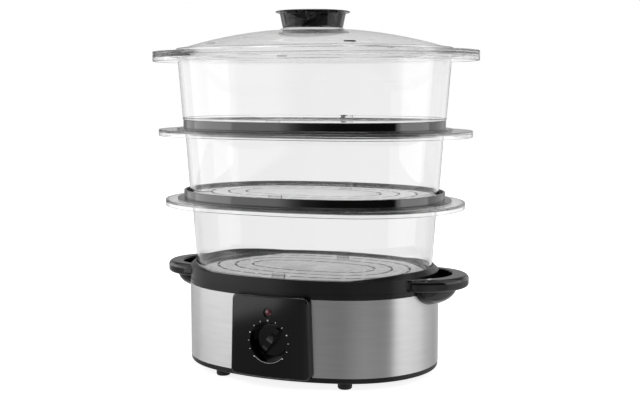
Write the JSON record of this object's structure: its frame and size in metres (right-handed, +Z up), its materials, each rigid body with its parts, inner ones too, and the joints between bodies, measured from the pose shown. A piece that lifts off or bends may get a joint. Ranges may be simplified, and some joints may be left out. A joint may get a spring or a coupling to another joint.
{
  "type": "electric food steamer",
  "caption": "Oval electric food steamer: nesting clear baskets on black rings over a brushed-steel water base with a timer dial, filler handles and a domed lid.",
  "frame": {"origin": "on the worktop, under the middle of the oval base", "axes": "+Z up; +X towards the right handle; the control panel faces -Y"},
  "size_m": [0.34, 0.228, 0.365],
  "materials": {
    "rubber": "matt moulded rubber",
    "black_satin": "fine satin moulded plastic",
    "black_gloss": "polished moulded plastic",
    "steel": "brushed along the band",
    "screw_steel": "bright zinc plate",
    "clear": "clear moulded plastic",
    "lens_red": "clear red moulded plastic",
    "lamp": "small neon tube",
    "timer": "plain moulded plastic",
    "bell": "nickel plate",
    "shaft": "turned steel",
    "gasket": "moulded silicone",
    "plate": "pressed stainless steel",
    "element": "dark oxidised sheath",
    "clamp": "plain pressed aluminium",
    "ceramic": "white insulator",
    "lead": "insulated lead",
    "tray": "satin moulded plastic",
    "sleeve": "satin moulded plastic"
  },
  "bodies": {
    "base": {"rubber_feet": "rubber", "bottom_cover": "black_satin", "base_screws": "screw_steel", "steel_band": "steel", "base_shell": "black_satin", "reservoir": "black_satin", "right_filler_handle": "black_gloss", "left_filler_handle": "black_gloss", "control_panel": "black_gloss", "panel_screws": "screw_steel", "indicator_lens": "lens_red", "neon_lamp": "lamp", "timer_case": "timer", "timer_bell": "bell", "timer_screws": "screw_steel", "heater_gasket": "gasket", "heating_plate": "plate", "heating_element": "element", "heater_clamp": "clamp", "heater_screws": "screw_steel", "thermostat": "clamp", "thermal_fuse": "ceramic", "cord_gland": "rubber", "terminal_block": "ceramic", "internal_leads": "lead"},
    "dial": {"timer_knob": "black_gloss", "timer_shaft": "shaft"},
    "sleeve": {"steam_sleeve": "sleeve"},
    "tray": {"drip_tray": "tray"},
    "lower_basket": {"basket_1": "clear"},
    "lower_plate": {"floor_plate_1": "clear"},
    "lower_ring": {"stacking_ring_1": "black_gloss"},
    "middle_basket": {"basket_2": "clear"},
    "middle_plate": {"floor_plate_2": "clear"},
    "upper_ring": {"stacking_ring_2": "black_gloss"},
    "upper_basket": {"basket_3": "clear"},
    "upper_plate": {"floor_plate_3": "clear"},
    "lid": {"lid": "clear", "lid_knob": "black_gloss", "lid_knob_screw": "screw_steel", "lid_knob_washer": "screw_steel"}
  },
  "joints": [
    {"name": "timer_turn", "type": "hinge", "parent": "base", "child": "dial", "pos_m": [0, -0.0958, 0.0459], "axis": [0, 1, 0], "range_deg": [-169, 101]},
    {"name": "sleeve_lift", "type": "slide", "parent": "base", "child": "sleeve", "axis": [0, 0, 1], "range_m": [0, 0.009]},
    {"name": "tray_lift", "type": "slide", "parent": "base", "child": "tray", "axis": [0, 0, 1], "range_m": [0, 0.12]},
    {"name": "lower_basket_lift", "type": "slide", "parent": "tray", "child": "lower_basket", "axis": [0, 0, 1], "range_m": [0, 0.1]},
    {"name": "lower_plate_lift", "type": "slide", "parent": "lower_basket", "child": "lower_plate", "axis": [0, 0, 1], "range_m": [0, 0.04]},
    {"name": "lower_ring_lift", "type": "slide", "parent": "lower_basket", "child": "lower_ring", "axis": [0, 0, 1], "range_m": [0, 0.08]},
    {"name": "middle_basket_lift", "type": "slide", "parent": "lower_ring", "child": "middle_basket", "axis": [0, 0, 1], "range_m": [0, 0.1]},
    {"name": "middle_plate_lift", "type": "slide", "parent": "middle_basket", "child": "middle_plate", "axis": [0, 0, 1], "range_m": [0, 0.04]},
    {"name": "upper_ring_lift", "type": "slide", "parent": "middle_basket", "child": "upper_ring", "axis": [0, 0, 1], "range_m": [0, 0.08]},
    {"name": "upper_basket_lift", "type": "slide", "parent": "upper_ring", "child": "upper_basket", "axis": [0, 0, 1], "range_m": [0, 0.1]},
    {"name": "upper_plate_lift", "type": "slide", "parent": "upper_basket", "child": "upper_plate", "axis": [0, 0, 1], "range_m": [0, 0.04]},
    {"name": "lid_lift", "type": "slide", "parent": "upper_basket", "child": "lid", "axis": [0, 0, 1], "range_m": [0, 0.15]}
  ]
}
